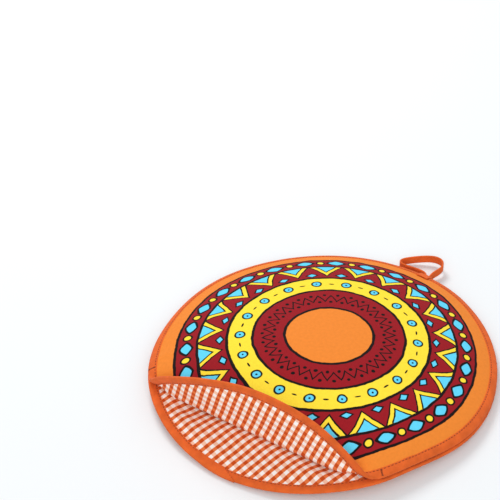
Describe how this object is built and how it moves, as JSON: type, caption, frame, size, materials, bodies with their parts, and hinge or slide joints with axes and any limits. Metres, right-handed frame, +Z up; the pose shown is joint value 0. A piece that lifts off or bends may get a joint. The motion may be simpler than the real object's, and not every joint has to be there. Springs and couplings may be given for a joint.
{
  "type": "tortilla warmer",
  "caption": "Round quilted cloth tortilla warmer: padded, lined and tape-bound discs joined round the rim, with a mouth at the front whose lip folds up, and a hanging loop.",
  "frame": {"origin": "centre of the round, on the surface the warmer lies on", "axes": "+Z up, +Y towards the far rim that carries the loop, mouth towards -Y, +X to the right seen from the mouth"},
  "size_m": [0.305, 0.3381, 0.0639],
  "materials": {
    "printed_cotton": "matt printed cotton",
    "wadding": "soft white filling",
    "checked_cotton": "matt woven check",
    "binding_tape": "matt cotton tape",
    "thread": "sewing thread"
  },
  "bodies": {
    "pouch": {"lower_cover": "printed_cotton", "lower_wadding": "wadding", "lower_lining": "checked_cotton", "lower_binding": "binding_tape", "upper_cover": "printed_cotton", "upper_wadding": "wadding", "upper_lining": "checked_cotton", "upper_binding": "binding_tape", "rim_seam": "thread", "corner_tacks": "thread", "loop_tab": "binding_tape"},
    "lip": {"lip_cover": "printed_cotton", "lip_wadding": "wadding", "lip_lining": "checked_cotton", "lip_binding": "binding_tape"},
    "loop": {"hanging_loop": "binding_tape"}
  },
  "joints": [
    {"name": "lip_fold", "type": "hinge", "parent": "pouch", "child": "lip", "pos_m": [0, -0.103, 0.015], "axis": [-1, 0, 0], "range_deg": [-82, 38]},
    {"name": "loop_swing", "type": "hinge", "parent": "pouch", "child": "loop", "pos_m": [0.02132, 0.15171, 0.00409], "axis": [0.9903, -0.1392, 0], "range_deg": [0, 65]}
  ]
}
